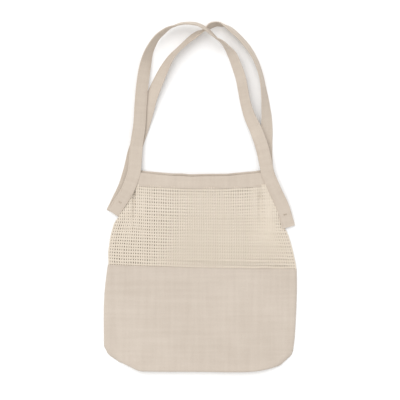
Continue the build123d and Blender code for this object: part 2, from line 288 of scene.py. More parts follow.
# ---- straps as curves ----
class Strap:
    """A strap's middle line with its forward, sideways (outward) and face directions at every step."""

    def __init__(self, route, step=3.0):
        line = catmull(route, step)
        self.middle = line[:, :3]
        self.along = unit(np.gradient(self.middle, axis=0))
        flat = unit(np.cross([0, 0, 1.0], self.along))
        up = np.cross(self.along, flat)
        tilt = np.radians(line[:, 3])[:, None]
        self.across = flat * np.cos(tilt) + up * np.sin(tilt)
        self.face = np.cross(self.along, self.across)
        self.run = run_along(self.middle)

    def part(self, first, last):
        """The stretch of the strap between two of its steps."""
        piece = object.__new__(Strap)
        for name in ("middle", "along", "across", "face", "run"):
            setattr(piece, name, getattr(self, name)[first:last])
        return piece

    def at(self, run):
        """Middle, forward, sideways and face directions at distances along the strap."""
        result = []
        for name in ("middle", "along", "across", "face"):
            table = getattr(self, name)
            result.append(np.stack([np.interp(run, self.run, table[:, k]) for k in range(3)], axis=1))
        return result

    def edge(self, side):
        """Plan of the line at a sideways distance from the middle."""
        return (self.middle + self.across * side)[:, :2]


def back_route():
    """The back strap's route with its heights: it rests on its lower edge."""
    half = STRAP_WIDTH / 2
    route = []
    for x, y, tilt in BACK_STRAP:
        angle = math.radians(abs(tilt))
        rest = half * math.sin(angle) + STRAP_HALF * math.cos(angle)
        route.append((x, y, rest + BACK_STRAP_LIFT, tilt))
    return route


front_strap = Strap(FRONT_STRAP)
back_strap = Strap(back_route())


# ---- height of the cloth ----
GRID = 4.0
GRID_X = np.arange(-208, 212, GRID)
GRID_Y = np.arange(-12, 416, GRID)
SETTLE_STEPS = 1500


def strap_end(strap, left):
    """Which steps of a strap belong to its left or right sewn end."""
    return (strap.middle[:, 1] < END_Y) & ((strap.middle[:, 0] < 0) == left)


def strap_side(strap, left):
    """The inner edge of a strap's sewn end, bottom to top."""
    edge = strap.edge(-STRAP_WIDTH / 2)[strap_end(strap, left)]
    return edge if left else edge[::-1]


def bag_edge(y, outline, bound, meet, out=0.0, under=0.0):
    """x of the net's edge at each y: the outline below where they meet, the strap's inner edge above."""
    return np.where(y < meet, side_x(outline, y) + out, np.interp(y, bound[:, 1], bound[:, 0]) + under)


def bottom_share(x, y):
    """From 0 at the sides to 1 along the middle of the bottom seam."""
    return (1 - smoothstep(*BOTTOM_UP, y)) * (1 - smoothstep(*BOTTOM_OUT, np.abs(x)))


def seam_height(x, y):
    """Height of the seam nearest to a point."""
    return SEAM_Z + BOTTOM_LIFT * bottom_share(x, y)


def strap_height(strap, left, y):
    """Height of the middle of a strap's sewn end at each y."""
    points = strap.middle[strap_end(strap, left)][:: 1 if left else -1]
    return np.interp(y, points[:, 1], points[:, 2])


def mouth_share(x):
    """From 0 at the ends of the bands to 1 halfway along the mouth."""
    return np.sin(np.pi * np.clip((x - BAND_ENDS[0]) / (BAND_ENDS[1] - BAND_ENDS[0]), 0, 1)) ** 2


def band_height(x, side):
    """Height of a folded band's middle layer, halfway along the mouth and towards its ends."""
    middle_z, end_z = BAND_Z[side]
    return end_z + (middle_z - end_z) * mouth_share(x) + bumps("band_lie", x, np.zeros_like(x))


def front_field():
    """Height of the front panel: it rises from its edges towards a gently uneven plateau."""
    x, y = np.meshgrid(GRID_X, GRID_Y, indexing="ij")
    left = bag_edge(y, LEFT_SIDE + NET_LEFT[1:], strap_side(front_strap, True), NET_LEFT[-1][1])
    right = bag_edge(y, RIGHT_SIDE + NET_RIGHT[1:], strap_side(front_strap, False), NET_RIGHT[-1][1])
    inside = (x > left) & (x < right) & (y > line_y(BOTTOM, x)) & (y < MOUTH_Y)
    seam = seam_height(x, y) + PANEL_EDGE + PANEL_EDGE_BOTTOM * bottom_share(x, y)
    left_z, right_z = strap_height(front_strap, True, y), strap_height(front_strap, False, y)
    bound = np.where(x < 0, left_z, right_z) + NET_SINK
    edge = np.where(y < BOUND_Y[0], seam, seam + (bound - seam) * smoothstep(*BOUND_Y, y))
    edge = np.where((y >= MOUTH_Y) & (np.abs(x) < MOUTH_HALF), band_height(x, "front") + NET_SINK, edge)
    goal = PLATEAU + bumps("panel_wide", x, y) + bumps("panel_narrow", x, y)
    height = np.where(inside, goal, edge)
    pull = (GRID / (EDGE_REACH - BOTTOM_REACH_LESS * (1 - smoothstep(*BOTTOM_REACH_Y, y)))) ** 2
    for _ in range(SETTLE_STEPS):
        around = (
            np.roll(height, 1, 0) + np.roll(height, -1, 0) + np.roll(height, 1, 1) + np.roll(height, -1, 1)
        )
        height = np.where(inside, (around + pull * goal) / (4 + pull), edge)
    return height


FIELD = front_field()
SIDES = np.vstack([
    catmull(NET_LEFT, OUTLINE_STEP)[::-1, :2],
    catmull(LEFT_SIDE, OUTLINE_STEP)[::-1, :2],
    catmull(BOTTOM, OUTLINE_STEP)[:, :2],
    catmull(RIGHT_SIDE, OUTLINE_STEP)[:, :2],
    catmull(NET_RIGHT, OUTLINE_STEP)[:, :2],
])


def sample_field(x, y):
    """Height of the front panel's field between the points of its grid."""
    u = np.clip((x - GRID_X[0]) / GRID, 0, len(GRID_X) - 1.001)
    v = np.clip((y - GRID_Y[0]) / GRID, 0, len(GRID_Y) - 1.001)
    i, j = u.astype(int), v.astype(int)
    a, b = u - i, v - j
    low = FIELD[i, j] * (1 - a) + FIELD[i + 1, j] * a
    high = FIELD[i, j + 1] * (1 - a) + FIELD[i + 1, j + 1] * a
    return low * (1 - b) + high * b


# The creases that hang from the band's two ends: x at their top, lean, depth, half width.
CREASE_TOP = 368
LEFT_CREASE = (-131, 0.04, 6.0, 4.0)
LEFT_CREASE_Y = (262, 350)
RIGHT_CREASE = (120, 0.02, 6.5, 5.5)
RIGHT_CREASE_Y = (255, 345)
RIGHT_CREASE_FADE = 0.75  # it loses this share of its depth near the band
RIGHT_CREASE_FADE_Y = (346, 366)
# Outside the left crease the net lies lower.
LEFT_DROP = 2.0
LEFT_DROP_X = (-9, 3)
LEFT_DROP_Y = (250, 300)
LEFT_DROP_END_Y = (330, 350)
# The waves above the canvas: height, length, drift along the seam, phase, middle, half width.
WAVE = (1.6, 13, 0.012, 1.0, 11, 9)
WAVE_X = (-110, 40)
WAVE_FROM = -2


def folds(x, y):
    """The folds that hang from the band's two ends, and the waves beside the net's lower seam."""
    top, slant, depth, width = LEFT_CREASE
    crease = x - top + slant * (CREASE_TOP - y)
    left = -depth * np.exp(-((crease / width) ** 2)) * smoothstep(*LEFT_CREASE_Y, y)
    outside = 1 - smoothstep(*LEFT_DROP_X, crease)
    left = left - LEFT_DROP * outside * smoothstep(*LEFT_DROP_Y, y) * (1 - smoothstep(*LEFT_DROP_END_Y, y))
    top, slant, depth, width = RIGHT_CREASE
    crease = x - top - slant * (CREASE_TOP - y)
    up = smoothstep(*RIGHT_CREASE_Y, y) * (1 - RIGHT_CREASE_FADE * smoothstep(*RIGHT_CREASE_FADE_Y, y))
    right = -depth * np.exp(-((crease / width) ** 2)) * up
    above = y - line_y(NET_LINE, x)
    size, length, drift, phase, middle, width = WAVE
    waves = size * np.sin(2 * np.pi * above / length + drift * x + phase)
    waves = waves * np.exp(-(((above - middle) / width) ** 2))
    return left + right + waves * smoothstep(*WAVE_X, x) * (above > WAVE_FROM)


def roll_off(distance, reach=ROLL):
    """Share of the full height at a distance from a side seam, as a quarter round."""
    t = np.clip(distance / reach, 0, 1)
    return np.sqrt(1 - (1 - t) ** 2)


def front_height(x, y):
    """Height of the front panel's outer face."""
    x, y = np.asarray(x, float), np.asarray(y, float)
    distance = distance_to(SIDES, x, y)
    allowance = ALLOWANCE * smoothstep(*ALLOWANCE_IN, distance) * (1 - smoothstep(*ALLOWANCE_OUT, distance))
    base = sample_field(x, y) + allowance
    calm = smoothstep(0, CALM, distance)
    base = base + calm * (bumps("cloth_wide", x, y) + bumps("cloth_narrow", x, y))
    base = base + folds(x, y) * calm
    seam = seam_height(x, y)
    return seam + (base - seam) * roll_off(distance, ROLL - BOTTOM_ROLL_LESS * bottom_share(x, y))


def back_height(x, y):
    """Height of the back panel's inner face."""
    x, y = np.asarray(x, float), np.asarray(y, float)
    seam = seam_height(x, y) - SEAM_GAP
    rise = BACK_RISE * mouth_share(x) * smoothstep(*BACK_RISE_Y, y)
    return rise + seam - (seam - BACK_Z) * roll_off(distance_to(SIDES, x, y))


# ---- meshes ----
MAP_UNIT = 100.0  # millimetres of cloth to one unit of its map


def put(name, data):
    """A new object in the scene."""
    thing = bpy.data.objects.new(name, data)
    bpy.context.scene.collection.objects.link(thing)
    return thing


def make_object(name, verts, faces, uv, material, body="bag"):
    """A mesh object from millimetre vertices, with one uv (in millimetres) for each vertex."""
    points = np.array(verts, float) * MM
    points[:, 1] += BOTTOM_Y
    mesh = bpy.data.meshes.new(name)
    mesh.from_pydata(points.tolist(), [], [tuple(map(int, f)) for f in faces])
    mesh.validate()
    layer = mesh.uv_layers.new(name="cloth")
    order = np.empty(len(mesh.loops), dtype=np.int32)
    mesh.loops.foreach_get("vertex_index", order)
    layer.data.foreach_set("uv", (np.asarray(uv, float)[order] / MAP_UNIT).ravel())
    mesh.shade_smooth()
    mesh.set_sharp_from_angle(angle=math.radians(SHARP))
    thing = put(name, mesh)
    mesh.materials.append(material)
    if body:
        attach(thing, body)
    return thing


def grid_faces(rows, columns, start=0, flip=False, wrap=False):
    """The quads of a grid of vertices, closed across its columns if it wraps."""
    index = np.arange(rows * columns).reshape(rows, columns) + start
    if wrap:
        index = np.hstack([index, index[:, :1]])
    quads = np.stack([index[:-1, :-1], index[1:, :-1], index[1:, 1:], index[:-1, 1:]], axis=-1).reshape(-1, 4)
    return quads[:, ::-1] if flip else quads


def grid_map(rows, columns):
    """The map of a grid from one value for each row and each column."""
    return np.stack(np.meshgrid(rows, columns, indexing="ij"), axis=-1)


def tube_faces(rows, columns, start=0):
    """The faces of a closed tube: its quads and its two ends."""
    last = start + (rows - 1) * columns
    ends = [list(range(start, start + columns))[::-1], list(range(last, last + columns))]
    return grid_faces(rows, columns, start, wrap=True).tolist() + ends


def normals(grid):
    """The direction square to a grid of points at each of them."""
    across, along = np.gradient(grid, axis=0), np.gradient(grid, axis=1)
    n = np.cross(across, along)
    n /= np.maximum(np.linalg.norm(n, axis=-1, keepdims=True), 1e-9)
    return n


def cloth_sheet(name, grid, uv, material, thickness=CLOTH, outward=1.0):
    """A closed thin sheet: grid is its outer face, and the inner one lies a thickness inside."""
    n = normals(grid)
    n = n * np.where(n[..., 2:3].mean() * outward < 0, -1.0, 1.0)
    inner = grid - n * thickness
    rows, columns = grid.shape[:2]
    count = rows * columns
    top = grid_faces(rows, columns, flip=outward > 0)
    bottom = grid_faces(rows, columns, start=count, flip=outward < 0)
    index = np.arange(count).reshape(rows, columns)
    rim = np.concatenate([index[:, 0], index[-1, 1:], index[-2::-1, -1], index[0, -2:0:-1]])
    following = np.roll(rim, -1)
    wall = np.stack([rim, following, following + count, rim + count], axis=1)
    if outward > 0:
        wall = wall[:, ::-1]
    verts = np.vstack([grid.reshape(-1, 3), inner.reshape(-1, 3)])
    uvs = np.vstack([uv.reshape(-1, 2)] * 2)
    return make_object(name, verts, np.vstack([top, bottom, wall]), uvs, material)


# The canvas panels' rows and what they span. This share of them lies in a strip at each edge.
ROWS_ACROSS = (130, 380)
ROWS_UP = (84, 205)
EDGE_SHARE = 0.16
EDGE_STRIP = ROLL * 1.6
EDGE_CROWDING = 1.5


def cluster(count, size):
    """Shares of a length, closer together near both ends."""
    t = np.linspace(0, 1, count)
    strip = EDGE_STRIP / size
    coarse = np.interp(t, [0, EDGE_SHARE, 0.5], [0, strip, 0.5])
    fine = (t / EDGE_SHARE) ** EDGE_CROWDING * strip
    first = np.where(t < EDGE_SHARE, fine, coarse)
    return np.where(t <= 0.5, first, 1 - first[::-1])


def canvas_grid():
    """Plan of the canvas panels, with rows closer together at the edges."""
    across, up = cluster(*ROWS_ACROSS), cluster(*ROWS_UP)
    bottom = resample(catmull(BOTTOM, FINE_STEP), share=across)
    top = resample(catmull(NET_LINE, FINE_STEP), share=across)
    left = resample(catmull(LEFT_SIDE, FINE_STEP), share=up)
    right = resample(catmull(RIGHT_SIDE, FINE_STEP), share=up)
    u, v = across[:, None, None], up[None, :, None]
    ruled_v = (1 - v) * bottom[:, None] + v * top[:, None]
    ruled_u = (1 - u) * left[None] + u * right[None]
    low_corners = (1 - u) * (1 - v) * bottom[0] + u * (1 - v) * bottom[-1]
    corners = low_corners + (1 - u) * v * top[0] + u * v * top[-1]
    return ruled_v + ruled_u - corners


# ---- stitches ----
# A stitch from end to end: share of its length, share of its radius, how far it bulges out.
STITCH_RINGS = [(-0.5, 0.12, -0.5), (-0.36, 0.8, 0.1), (0.0, 1.0, 0.35), (0.36, 0.8, 0.1), (0.5, 0.12, -0.5)]
STITCH_SIDES = 5


def stitches(centres, along, out):
    """Verts and faces of one small capsule at each centre."""
    side = np.cross(along, out)
    angles = np.arange(STITCH_SIDES) * 2 * np.pi / STITCH_SIDES
    rings = []
    for share, round_share, bulge in STITCH_RINGS:
        size, lift = round_share * STITCH_RADIUS, bulge * STITCH_RADIUS
        for angle in angles:
            outwards = out * (lift + size * math.sin(angle))
            rings.append(centres + along * share * STITCH_LENGTH + outwards + side * (size * math.cos(angle)))
    verts = np.stack(rings, axis=1).reshape(-1, 3)
    each = len(STITCH_RINGS) * STITCH_SIDES
    starts = np.arange(len(centres)) * each
    quads = grid_faces(len(STITCH_RINGS), STITCH_SIDES, wrap=True)[None] + starts[:, None, None]
    faces = quads.reshape(-1, 4).tolist()
    for ring in (range(STITCH_SIDES)[::-1], range(each - STITCH_SIDES, each)):
        faces += [[int(start + k) for k in ring] for start in starts]
    return verts, faces


def stitch_object(name, rows, body="bag", material=None):
    """One object for several rows; each row is its centres, forward directions and outward directions."""
    centres, along, out = (np.vstack([row[k] for row in rows]) for k in range(3))
    verts, faces = stitches(centres, along, out)
    return make_object(name, verts, faces, verts[:, :2], material or THREAD, body)


# ---- materials ----
COTTON = {"Roughness": 0.92, "Specular IOR Level": 0.18, "Sheen Weight": 0.12, "Sheen Roughness": 0.6}
FLECK_SHADE = (0.72, 0.66, 0.58)  # a fleck's colour, as shares of the dark one
RELIEF = 0.00035  # height of the weave, in metres
TWIST_LEAN = 1.3  # how much the twist of a thread leans


def cotton(name, colour, dark, weave_mm, bump, fleck=0.25, twist=False):
    """Natural cotton: a weave or a twist, slubs, uneven dye, a few darker flecks, and painted shade in the
    weave's hollows.
    """
    material = bpy.data.materials.new(name)
    material.use_nodes = True
    nodes, links = material.node_tree.nodes, material.node_tree.links
    shader = nodes["Principled BSDF"]
    for key, value in COTTON.items():
        shader.inputs[key].default_value = value

    def node(kind, **values):
        made = nodes.new(kind)
        for key, value in values.items():
            if key in made.inputs:
                made.inputs[key].default_value = value
            else:
                setattr(made, key, value)
        return made

    place = node("ShaderNodeUVMap", uv_map="cloth")
    source = place.outputs["UV"]

    def noise_at(scale, stretch=(1, 1, 1), detail=4.0, rough=0.55):
        mapping = node("ShaderNodeMapping")
        mapping.inputs["Scale"].default_value = [s * MAP_UNIT for s in stretch]
        links.new(source, mapping.inputs["Vector"])
        made = node("ShaderNodeTexNoise", Scale=1.0 / scale, Detail=detail, Roughness=rough)
        links.new(mapping.outputs["Vector"], made.inputs["Vector"])
        return made.outputs["Fac"]

    def maths(kind, a, b=None, clamp=False):
        made = node("ShaderNodeMath", operation=kind, use_clamp=clamp)
        for socket, value in zip(made.inputs, (a, b)):
            if value is None:
                continue
            if isinstance(value, (int, float)):
                socket.default_value = value
            else:
                links.new(value, socket)
        return made.outputs[0]

    def mapped(value, *ranges):
        made = node("ShaderNodeMapRange")
        for key, limit in zip(("From Min", "From Max", "To Min", "To Max"), ranges):
            made.inputs[key].default_value = limit
        links.new(value, made.inputs["Value"])
        return made.outputs["Result"]

    split = node("ShaderNodeSeparateXYZ")
    links.new(source, split.inputs[0])
    turn = 2 * math.pi * MAP_UNIT / weave_mm
    wave_x = maths("SINE", maths("MULTIPLY", split.outputs[0], turn / 2))
    wave_y = maths("SINE", maths("MULTIPLY", split.outputs[1], turn / 2))
    if twist:
        forward = maths("MULTIPLY", split.outputs[1], turn)
        around = maths("MULTIPLY", split.outputs[0], turn * TWIST_LEAN)
        weave_relief_and_shade = mapped(maths("SINE", maths("ADD", forward, around)), -1, 1, 0, 1)
    else:
        weave_relief_and_shade = mapped(maths("MULTIPLY", wave_x, wave_y), -1, 1, 0, 1)
    warp = noise_at(9.0, (1.0, 0.05, 1.0))
    weft = noise_at(9.0, (0.05, 1.0, 1.0))
    slub = maths("ADD", warp, weft)
    patch = noise_at(38.0, detail=3.0)
    broad = noise_at(150.0, detail=1.0)
    grain = noise_at(3.4, detail=3.0, rough=0.7)
    speck = mapped(noise_at(2.4, detail=1.0), 0.66, 0.74, 0, 1)

    streaks = maths("MULTIPLY", mapped(slub, 0.8, 1.2, 0, 1), 0.4)
    tone = maths("ADD", streaks, maths("MULTIPLY", mapped(patch, 0.35, 0.65, 0, 1), 0.2))
    tone = maths("ADD", tone, maths("MULTIPLY", mapped(broad, 0.35, 0.65, -0.5, 0.5), 0.3))
    # Painted shade: the weave's or twist's raised parts are lighter and its hollows darker, from the same
    # pattern that shapes the bump.
    tone = maths("ADD", tone, maths("MULTIPLY", weave_relief_and_shade, 0.1))
    tone = maths("ADD", tone, maths("MULTIPLY", mapped(grain, 0.3, 0.7, 0, 1), 0.25), clamp=True)
    ramp = node("ShaderNodeMix", data_type="RGBA")
    ramp.inputs[6].default_value = (*dark, 1)
    ramp.inputs[7].default_value = (*colour, 1)
    links.new(tone, ramp.inputs[0])
    flecked = node("ShaderNodeMix", data_type="RGBA")
    flecked.inputs[7].default_value = (*(d * share for d, share in zip(dark, FLECK_SHADE)), 1)
    links.new(maths("MULTIPLY", speck, fleck), flecked.inputs[0])
    links.new(ramp.outputs[2], flecked.inputs[6])
    links.new(flecked.outputs[2], shader.inputs["Base Color"])

    height = maths("ADD", maths("MULTIPLY", weave_relief_and_shade, 0.6), maths("MULTIPLY", slub, 0.5))
    height = maths("ADD", height, maths("MULTIPLY", grain, 0.5))
    relief = node("ShaderNodeBump", Strength=bump, Distance=RELIEF)
    links.new(height, relief.inputs["Height"])
    links.new(relief.outputs[0], shader.inputs["Normal"])
    return material


CANVAS = cotton("natural_canvas", (0.593, 0.52, 0.447), (0.508, 0.438, 0.37), 0.8, 0.5)
STRAP_CLOTH = cotton("strap_canvas", (0.601, 0.525, 0.445), (0.515, 0.44, 0.368), 0.8, 0.5)
YARN = cotton("net_yarn", (0.759, 0.676, 0.577), (0.653, 0.57, 0.465), 1.3, 0.7, fleck=0.15, twist=True)
THREAD = cotton("sewing_thread", (0.697, 0.599, 0.505), (0.599, 0.506, 0.418), 0.5, 0.5, fleck=0.0, twist=True)
TACK = cotton("tack_thread", (0.48, 0.403, 0.316), (0.403, 0.335, 0.259), 0.5, 0.5, fleck=0.0, twist=True)


# ---- canvas panels ----
def canvas_panels():
    """The two lower panels. They meet at the bottom and the sides."""
    plan = canvas_grid()
    x, y = plan[..., 0], plan[..., 1]
    uv = np.stack([x, y], axis=-1)
    front = np.stack([x, y, front_height(x, y)], axis=-1)
    back = np.stack([x, y, back_height(x, y) - BACK_Z + BACK_CLEAR], axis=-1)
    front_piece = cloth_sheet("canvas_front", front, uv, CANVAS)
    back_piece = cloth_sheet("canvas_back", back, uv, CANVAS, outward=-1.0)
    for piece, node in ((front_piece, "canvas_panel_front"), (back_piece, "canvas_panel_back")):
        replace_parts(piece, node)


# ---- net ----
WALE_STEP = 4.65
COURSE_STEP = 6.1
WALE = (1.6, 0.62)  # half width and half thickness of the net's upright cords
COURSE = (1.75, 0.5)
FLARE = (95.0, 190)  # between these distances from the middle, upright cords lean with the sides
TUCK = 3.0  # the net runs on this far into the strap that binds it
NET_INSET = 0.8  # below the straps it ends this far inside its outline
MEET_LEFT, MEET_RIGHT = 312, 290  # where the straps take over as its edge
SHORTEST = 3  # no pieces of cord with fewer steps than this
CORD_SIDES = 6
CORD_ROUND = 3.0  # width of the map around a cord
WALE_ENDS = (-0.03, 1.015)  # upright cords run on below the seam and under the band
WALE_STEPS = 4  # steps from one cross cord to the next
WALE_JITTER = 0.25
WALE_WANDER = (0.35, 14)  # size and length
COURSE_ENDS = (-4, 6)  # cross cords run on past the net's lower corners
COURSE_STEPS = 3  # steps from one upright cord to the next
COURSE_WANDER = (0.7, 26)
COURSE_APART = 31.0  # so that no two cross cords wander alike
KNOT_AT = 0.35  # where in each step up the cords cross
KNOT_LIFT = 0.15  # there the upright cord lies higher, and beside it the cross cord lower
KNOT_WIDTH = (0.92, 0.22)  # share of the cord's width between the knots, and what a knot adds
KNOT_THICK = 0.2
BACK_NET_DROP = 0.05


def lean(x, y):
    """x of an upright cord at height y, from its place at the lower seam."""
    left, right = (side_x(line, np.minimum(y, line[-2][1])) - line[0][0] for line in (NET_LEFT, NET_RIGHT))
    return x + np.where(x < 0, left, right) * smoothstep(*FLARE, np.abs(x))


def tubes(cords, sides=CORD_SIDES):
    """Verts, faces and uv of closed tubes: each cord is its line, half widths, half thicknesses and side."""
    verts, faces, uvs, start = [], [], [], 0
    angles = np.arange(sides) * 2 * np.pi / sides
    for line, wide, thick, side in cords:
        n = len(line)
        ring = (
            line[:, None]
            + side * (wide[:, None, None] * np.cos(angles)[None, :, None])
            + np.array([0, 0, 1.0]) * (thick[:, None, None] * np.sin(angles)[None, :, None])
        )
        verts.append(ring.reshape(-1, 3))
        faces += tube_faces(n, sides, start)
        uvs.append(grid_map(run_along(line), angles / (2 * np.pi) * CORD_ROUND)[..., ::-1].reshape(-1, 2))
        start += n * sides
    return np.vstack(verts), faces, np.vstack(uvs)


def runs_of(mask):
    """First and last index of each run of true values."""
    edges = np.flatnonzero(np.diff(np.concatenate([[0], mask.astype(int), [0]])))
    return [(a, b) for a, b in zip(edges[::2], edges[1::2]) if b - a > SHORTEST]


def net_cords(height, strap, phase, seed):
    """The net's upright and cross cords over a surface, cut where the straps bind them."""
    left_edge, right_edge = strap_side(strap, True), strap_side(strap, False)

    def covered(x, y):
        left = bag_edge(y, NET_LEFT, left_edge, MEET_LEFT, NET_INSET, -TUCK)
        right = bag_edge(y, NET_RIGHT, right_edge, MEET_RIGHT, -NET_INSET, TUCK)
        return (x > left) & (x < right)

    count = int(round((NET_RIGHT[0][0] - NET_LEFT[0][0]) / WALE_STEP))
    courses = int(round((BAND_LINE[2][1] - NET_LINE[2][1]) / COURSE_STEP))
    wobble = np.random.RandomState(seed)
    cords = []
    for k in range(count):
        x0 = NET_LEFT[0][0] + (k + 0.5 + phase) * WALE_STEP + wobble.uniform(-WALE_JITTER, WALE_JITTER)
        t = np.linspace(*WALE_ENDS, courses * WALE_STEPS + WALE_STEPS)
        low, high = line_y(NET_LINE, x0), line_y(BAND_LINE, x0)
        y = low + t * (high - low)
        size, length = WALE_WANDER
        x = lean(np.full_like(y, x0), y) + size * noise(y, np.full_like(y, x0), length, seed + 1)
        knot = 0.5 + 0.5 * np.cos(2 * np.pi * (t * courses - KNOT_AT))
        line = np.stack([x, y, height(x, y) + KNOT_LIFT * knot], axis=1)
        for a, b in runs_of(covered(x, y)):
            wide = WALE[0] * (KNOT_WIDTH[0] + KNOT_WIDTH[1] * knot[a:b])
            thick = WALE[1] * (1 + KNOT_THICK * knot[a:b])
            cords.append((line[a:b], wide, thick, np.array([1.0, 0, 0])))
    for j in range(courses):
        ends = NET_LEFT[0][0] + COURSE_ENDS[0], NET_RIGHT[0][0] + COURSE_ENDS[1]
        x = np.arange(*ends, WALE_STEP / COURSE_STEPS)
        low, high = line_y(NET_LINE, x), line_y(BAND_LINE, x)
        row = (j + KNOT_AT) / courses
        size, length = COURSE_WANDER
        y = low + row * (high - low) + size * noise(x, np.full_like(x, j * COURSE_APART), length, seed + 2)
        dip = 0.5 - 0.5 * np.cos(2 * np.pi * (x - NET_LEFT[0][0]) / WALE_STEP)
        line = np.stack([x, y, height(x, y) - KNOT_LIFT * dip], axis=1)
        for a, b in runs_of(covered(x, y)):
            full = np.ones(b - a)
            cords.append((line[a:b], COURSE[0] * full, COURSE[1] * full, np.array([0, 1.0, 0])))
    return cords


def front_net_height(x, y):
    """The front net passes under the canvas's top edge, and sinks between there and the band."""
    above = y - line_y(NET_LINE, x)
    up = np.clip(above / (line_y(BAND_LINE, x) - line_y(NET_LINE, x)), 0, 1)
    sag = NET_SAG * np.sin(np.pi * up) ** 0.8 * smoothstep(*NET_SAG_IN, distance_to(SIDES, x, y))
    sag = sag * mouth_share(x * 0.85) ** 0.5
    height = front_height(x, y) - NET_SINK - NET_UNDER * (1 - smoothstep(*NET_UNDER_Y, above)) - sag
    return np.maximum(height, back_net_height(x, y) + NET_CLEAR)


def back_net_height(x, y):
    """The back net lies level with the back panel."""
    return back_height(x, y) - BACK_NET_DROP


def net_panel(side, height, strap, phase, seed):
    """One net of separate cords, shifted sideways by a share of a cell."""
    verts, faces, uv = tubes(net_cords(height, strap, phase, seed))
    piece = make_object(f"net_{side}", verts, faces, uv, YARN)
    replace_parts(piece, f"net_panel_{side}")


# ---- bands ----
BAND_CLOTH = 0.75  # one layer of the folded band
BAND_STEPS = 130
BAND_OVER = 1.0  # it reaches this far below its line
BAND_FLAT = 64  # height of its cloth before it is folded
BAND_SEWN = 0.1  # its stitches are at this share of its height
BAND_THREAD_OUT = 0.92
BACK_LIP = 4.5  # the back band's fold turns up behind the front one
LIP_FROM = 0.78
BAND_TUCK = 14.0  # no stitches this near its ends, which lie under the straps
# Half of the folded band's section: share of its height, half thickness.
BAND_SECTION = [
    (0.0, 1.05), (0.05, 1.0), (0.1, 0.85), (0.15, 1.05), (0.3, 1.15), (0.5, 1.2),
    (0.7, 1.2), (0.88, 1.18), (0.955, 1.0), (0.99, 0.55), (1.0, 0.0),
]


def band(side, lower, upper):
    """The folded band at the mouth: open at its sewn edge, round at its fold, thinner under the straps."""
    x = np.linspace(*BAND_ENDS, BAND_STEPS)
    low, high = line_y(lower, x) - BAND_OVER, line_y(upper, x) + bumps("band_top", x, np.zeros_like(x))
    z = band_height(x, side)
    lip = BACK_LIP * mouth_share(x) if side == "back" else np.zeros_like(x)
    profile = BAND_SECTION + [(s, -h) for s, h in BAND_SECTION[-2::-1]]
    grid = np.empty((len(x), len(profile), 3))
    for k, (s, h) in enumerate(profile):
        ripple = bumps("band_ripple", x, np.full_like(x, s * 30))
        ripple = ripple + bumps("band_crinkle", x, np.full_like(x, s * 20))
        up = z + h + ripple + lip * smoothstep(LIP_FROM, 1.0, s)
        grid[:, k] = np.stack([x, low + s * (high - low), up], axis=1)
    around = np.linspace(0, BAND_FLAT, len(profile))
    uv = grid_map(x, around)
    piece = cloth_sheet(f"band_{side}", grid, uv, STRAP_CLOTH, thickness=BAND_CLOTH)
    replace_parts(piece, f"top_band_{side}")
    at = np.arange(BAND_ENDS[0] + BAND_TUCK, BAND_ENDS[1] - BAND_TUCK, STITCH_STEP)
    row_y = np.interp(at, x, low + BAND_SEWN * (high - low))
    row_z = np.interp(at, x, z)
    along = np.broadcast_to([1.0, 0, 0], (len(at), 3))
    rows = []
    for face in (1.0, -1.0):
        centre = np.stack([at, row_y, row_z + face * BAND_THREAD_OUT], axis=1)
        rows.append((centre, along, np.broadcast_to([0, 0, face], (len(at), 3))))
    thread = stitch_object(f"band_stitches_{side}", rows)
    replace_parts(thread, f"band_stitching_{side}")


# ---- straps ----
UNDERSIDE_MAP = 60  # the strap's other face lies this far along its map


def strap_profile():
    """Half of the strap's section, across and thickness, with a groove where it is stitched."""
    edge = STRAP_WIDTH / 2
    groove = edge - STITCH_INSET
    return [
        (edge, 0.0), (edge - 0.15, 0.55), (edge - 0.7, 1.0), (groove + 0.8, STRAP_HALF),
        (groove, 0.72), (groove - 0.8, 1.02), (groove - 3.5, STRAP_HALF), (0.0, 1.05),
    ]


def strap_mesh(name, strap):
    """A closed strap along its route, cupped, rippled and curled back where it stands on edge."""
    half = strap_profile()
    top = half + [(-s, t) for s, t in reversed(half[:-1])]
    profile = top + [(s, -t) for s, t in reversed(top[1:-1])]
    n, count = len(strap.middle), len(profile)
    grid = np.empty((n, count, 3))
    cup = bumps("strap_cup", strap.run, strap.run * 0)
    upright = np.abs(strap.face[:, 2])  # 0 where the strap stands on its edge
    curl = CURL * np.exp(-((upright / CURL_SPREAD) ** 2)) / (STRAP_WIDTH / 2)
    for k, (s, t) in enumerate(profile):
        ripple = bumps("strap_ripple", strap.run, np.full(n, s))
        lift = t + ripple + cup * ((s / (STRAP_WIDTH / 2)) ** 2 - CUP_MIDDLE) - curl * s * s / 2
        reach = s * (1 - (curl * s) ** 2 / 6)
        grid[:, k] = strap.middle + strap.across * reach[:, None] + strap.face * lift[:, None]
    around = np.array([s if k < len(top) else s + UNDERSIDE_MAP for k, (s, t) in enumerate(profile)])
    uv = grid_map(strap.run, around)[..., ::-1].reshape(-1, 2)
    return make_object(name, grid.reshape(-1, 3), tube_faces(n, count), uv, STRAP_CLOTH, body=None)


def strap_rows(strap):
    """Stitches along both edges of a strap, on both faces."""
    run = np.arange(strap.run[0] + STITCH_END, strap.run[-1] - STITCH_END, STITCH_STEP)
    middle, along, across, face = strap.at(run)
    rows = []
    for side in (-1, 1):
        for out in (1, -1):
            centre = middle + across * side * (STRAP_WIDTH / 2 - STITCH_INSET) + face * out * STITCH_OUT
            rows.append((centre, along, face * out))
    return rows


TACK_UP = 26.0  # from a strap's end to its bar tack
TACK_ROWS = 7
TACK_STEP = 0.35
TACK_SPOT = 1.8  # from a strap's middle to each of a row's two stitches
TACK_OUT = 0.1


